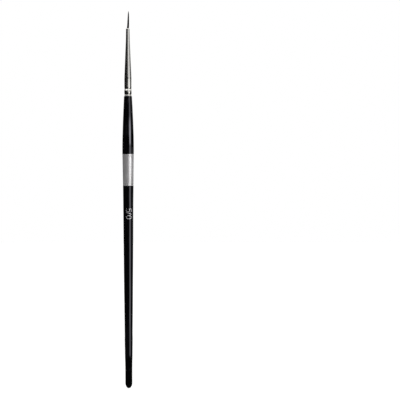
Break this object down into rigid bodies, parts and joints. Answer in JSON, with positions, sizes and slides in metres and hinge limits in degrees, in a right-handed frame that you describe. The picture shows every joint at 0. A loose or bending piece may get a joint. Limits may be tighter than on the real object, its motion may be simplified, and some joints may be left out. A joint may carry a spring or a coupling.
{
  "type": "fine detail brush",
  "caption": "Slim pointed round brush: tapered lacquered wooden handle with a silver band, crimped conical metal ferrule and a needle-pointed black tuft.",
  "frame": {"origin": "lowest point of the rounded tail end, on the brush's axis", "axes": "+Z along the brush from the tail end to the tip of the hair, +X and +Y across it; the size number faces -Y"},
  "size_m": [0.0056, 0.0056, 0.18],
  "materials": {
    "turned_wood": "turned and sanded hardwood, hidden under the lacquer",
    "black_lacquer": "dipped black lacquer, high gloss, slightly wavy over the grain",
    "silver_lacquer": "silver metallic lacquer under a clear coat",
    "nickel_plated_brass": "polished nickel plate on seamless brass tube",
    "wood_glue": "set glue film, hidden",
    "epoxy": "set amber epoxy, hidden",
    "binding_thread": "waxed thread, hidden",
    "black_filament": "fine tapered synthetic filaments, soft sheen"
  },
  "bodies": {
    "root": {"handle_core": "turned_wood", "lower_lacquer": "black_lacquer", "silver_band": "silver_lacquer", "upper_lacquer": "black_lacquer", "ferrule": "nickel_plated_brass", "tenon_glue": "wood_glue", "epoxy_plug": "epoxy", "root_binding": "binding_thread", "hair_roots": "black_filament", "hair_tuft": "black_filament"}
  },
  "joints": []
}
